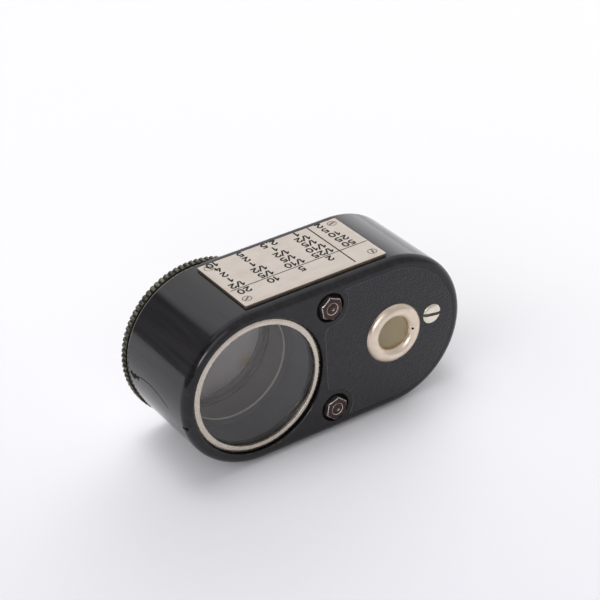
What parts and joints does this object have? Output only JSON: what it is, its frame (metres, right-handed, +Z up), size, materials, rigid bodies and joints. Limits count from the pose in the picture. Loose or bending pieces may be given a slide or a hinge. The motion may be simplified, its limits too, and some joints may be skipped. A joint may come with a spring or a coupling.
{
  "type": "pocket optical exposure meter",
  "caption": "Pocket optical exposure meter: black stadium-shaped case, large round viewing window, small tinted window, number table on its edge and a knurled setting dial on the back.",
  "frame": {"origin": "on the flat long side that the meter lies on, under the middle of the case and half way through its depth", "axes": "+X along the case towards the small window, +Y from the front face to the back with the dial, +Z up to the number table"},
  "size_m": [0.0699, 0.027, 0.0371],
  "materials": {
    "black_enamel": "gloss baked enamel",
    "nickel": "satin nickel plate",
    "nickel_silver": "satin plate with filled black figures",
    "nut_steel": "turned, slightly tarnished",
    "raw_brass": "turned",
    "blackened_brass": "matt black",
    "dark_knurled_metal": "blackened, worn on the teeth",
    "grained_leather": "fine pebble grain",
    "packing": "black card",
    "window_glass": "polished",
    "tinted_glass": "olive tint",
    "ground_glass": "ground",
    "grey_wedge_glass": "neutral grey, denser round the circle"
  },
  "bodies": {
    "case": {"case_shell": "black_enamel", "window_bezel": "nickel", "window_glass": "window_glass", "window_packing": "packing", "light_tube": "blackened_brass", "leather_panel": "grained_leather", "eyelet": "nickel", "eyelet_glass": "tinted_glass", "eyelet_spring": "blackened_brass", "eyelet_nut": "raw_brass", "light_tunnel": "blackened_brass", "back_plate": "black_enamel", "port_glass": "ground_glass", "port_ring": "nickel", "index_stud": "nickel", "stop_post": "raw_brass", "friction_washer": "raw_brass", "clamp_bolts": "nut_steel", "hex_nuts": "nut_steel", "bolt_sleeves": "raw_brass", "cover_screw": "nickel", "cover_pillar": "raw_brass", "table_plate": "nickel_silver", "table_screws": "nickel"},
    "dial": {"dial_ring": "dark_knurled_metal", "scale_ring": "nickel_silver", "scale_screws": "nickel", "wedge_cover": "window_glass", "wedge_glass": "grey_wedge_glass", "wedge_retainer": "blackened_brass", "keeper_ring": "blackened_brass"}
  },
  "joints": [
    {"name": "dial_turn", "type": "hinge", "parent": "case", "child": "dial", "pos_m": [-0.01675, 0.012, 0.018], "axis": [0, -1, 0], "range_deg": [-150, 150]}
  ]
}
